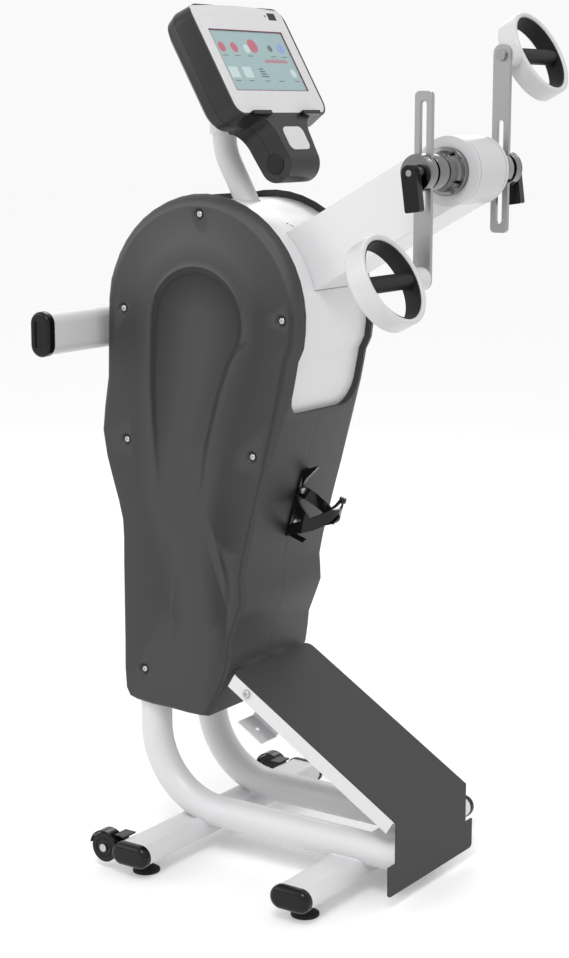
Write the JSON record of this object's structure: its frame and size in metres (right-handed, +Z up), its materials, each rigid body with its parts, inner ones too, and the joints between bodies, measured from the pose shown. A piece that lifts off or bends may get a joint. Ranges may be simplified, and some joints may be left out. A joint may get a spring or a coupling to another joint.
{
  "type": "arm ergometer",
  "caption": "Free-standing hand crank with slotted cranks and ring grips on a raised beam, a belt drive in moulded covers, a tilting console, a step ramp and levelling feet.",
  "frame": {"origin": "on the floor under the middle of the bounding box", "axes": "+X towards the user, +Y towards the user's right, +Z up"},
  "size_m": [0.8174, 0.6552, 1.5846],
  "materials": {
    "frame_paint": "satin light grey powder coat",
    "shell_plastic": "fine-grained dark grey",
    "ramp_paint": "fine-textured dark grey coat",
    "black_plastic": "black, slightly satin",
    "pad_rubber": "black rubber",
    "grip_rubber": "soft black",
    "ring_plastic": "light grey, satin",
    "bright_steel": "brushed",
    "dark_steel": "dark turned steel",
    "bolt_steel": "zinc plated",
    "bearing_steel": "ground steel",
    "belt_rubber": "black belt",
    "flywheel_iron": "turned iron",
    "pulley_metal": "machined",
    "magnet_metal": "dark coat",
    "board_green": "circuit board",
    "screen_glass": "lit display behind clear glass",
    "fascia_plastic": "light grey, fine",
    "badge_film": "plain light film"
  },
  "bodies": {
    "base": {"left_frame_tube": "frame_paint", "right_frame_tube": "frame_paint", "foot_bars": "frame_paint", "foot_caps": "black_plastic", "side_plates": "frame_paint", "wheel_housings": "black_plastic", "frame_bolts": "bolt_steel", "left_cover": "shell_plastic", "right_cover": "shell_plastic", "cover_screws": "bolt_steel", "front_panel": "frame_paint", "beam": "frame_paint", "head_tube": "frame_paint", "bearing_housings": "dark_steel", "housing_screws": "dark_steel", "bearings": "bearing_steel", "crank_belt": "belt_rubber", "drive_belt": "belt_rubber", "brake_magnet": "magnet_metal", "control_board": "board_green", "mains_inlet": "black_plastic", "mast": "frame_paint", "console_bracket": "frame_paint", "ramp_plate": "ramp_paint", "ramp_support": "frame_paint", "bottle_cage": "black_plastic", "handle_bar": "frame_paint", "handle_caps": "black_plastic"},
    "crank": {"crank_axle": "bright_steel", "crank_pulley": "pulley_metal", "crank_hubs": "dark_steel", "clamp_discs": "dark_steel", "clamp_nuts": "bright_steel"},
    "left_arm": {"left_crank_bar": "bright_steel", "left_spindle": "bright_steel"},
    "right_arm": {"right_crank_bar": "bright_steel", "right_spindle": "bright_steel"},
    "left_clamp": {"left_lever": "black_plastic"},
    "right_clamp": {"right_lever": "black_plastic"},
    "left_hand_ring": {"left_ring": "ring_plastic", "left_grip": "grip_rubber"},
    "right_hand_ring": {"right_ring": "ring_plastic", "right_grip": "grip_rubber"},
    "first_shaft": {"jackshaft": "bright_steel", "jack_pulleys": "pulley_metal"},
    "flywheel_group": {"flywheel": "flywheel_iron", "flywheel_shaft": "bright_steel"},
    "console": {"console_back": "shell_plastic", "console_front": "shell_plastic", "console_fascia": "fascia_plastic", "screen": "screen_glass", "console_trim": "black_plastic", "badge_plate": "badge_film", "hinge_pin": "black_plastic"},
    "left_transport_wheel": {"left_wheel": "black_plastic"},
    "right_transport_wheel": {"right_wheel": "black_plastic"},
    "rear_left_foot": {"foot_rear_left": "pad_rubber"},
    "rear_right_foot": {"foot_rear_right": "pad_rubber"},
    "front_left_foot": {"foot_front_left": "pad_rubber"},
    "front_right_foot": {"foot_front_right": "pad_rubber"}
  },
  "joints": [
    {"name": "crank_spin", "type": "hinge", "parent": "base", "child": "crank", "pos_m": [0.34975, 0, 1.298], "axis": [0, 1, 0], "continuous": true},
    {"name": "first_shaft_spin", "type": "hinge", "parent": "base", "child": "first_shaft", "pos_m": [-0.09061, 0, 1.05491], "axis": [0, 1, 0], "continuous": true},
    {"name": "flywheel_spin", "type": "hinge", "parent": "base", "child": "flywheel_group", "pos_m": [-0.16575, 0, 0.6], "axis": [0, 1, 0], "continuous": true},
    {"name": "left_arm_slide", "type": "slide", "parent": "crank", "child": "left_arm", "axis": [0, 0, -1], "range_m": [-0.058, 0.11]},
    {"name": "right_arm_slide", "type": "slide", "parent": "crank", "child": "right_arm", "axis": [0, 0, 1], "range_m": [-0.078, 0.09]},
    {"name": "left_clamp_turn", "type": "hinge", "parent": "crank", "child": "left_clamp", "pos_m": [0.34975, -0.175, 1.298], "axis": [0, 1, 0], "range_deg": [0, 150]},
    {"name": "right_clamp_turn", "type": "hinge", "parent": "crank", "child": "right_clamp", "pos_m": [0.34975, 0.175, 1.298], "axis": [0, 1, 0], "range_deg": [0, 150]},
    {"name": "left_ring_spin", "type": "hinge", "parent": "left_arm", "child": "left_hand_ring", "pos_m": [0.34975, -0.2476, 1.1235], "axis": [0, 1, 0], "continuous": true},
    {"name": "right_ring_spin", "type": "hinge", "parent": "right_arm", "child": "right_hand_ring", "pos_m": [0.34975, 0.2476, 1.4925], "axis": [0, 1, 0], "continuous": true},
    {"name": "console_tilt", "type": "hinge", "parent": "base", "child": "console", "pos_m": [-0.00825, 0, 1.3038], "axis": [0, 1, 0], "range_deg": [-8, 15]},
    {"name": "left_wheel_spin", "type": "hinge", "parent": "base", "child": "left_transport_wheel", "pos_m": [-0.23775, -0.264, 0.041], "axis": [0, 1, 0], "continuous": true},
    {"name": "right_wheel_spin", "type": "hinge", "parent": "base", "child": "right_transport_wheel", "pos_m": [-0.23775, 0.264, 0.041], "axis": [0, 1, 0], "continuous": true},
    {"name": "rear_left_foot_screw", "type": "slide", "parent": "base", "child": "rear_left_foot", "axis": [0, 0, -1], "range_m": [0, 0.015]},
    {"name": "rear_right_foot_screw", "type": "slide", "parent": "base", "child": "rear_right_foot", "axis": [0, 0, -1], "range_m": [0, 0.015]},
    {"name": "front_left_foot_screw", "type": "slide", "parent": "base", "child": "front_left_foot", "axis": [0, 0, -1], "range_m": [0, 0.015]},
    {"name": "front_right_foot_screw", "type": "slide", "parent": "base", "child": "front_right_foot", "axis": [0, 0, -1], "range_m": [0, 0.015]}
  ],
  "couplings": [
    {"joint": "first_shaft_spin", "follows": "crank_spin", "ratio": 1},
    {"joint": "flywheel_spin", "follows": "crank_spin", "ratio": 5.2}
  ]
}
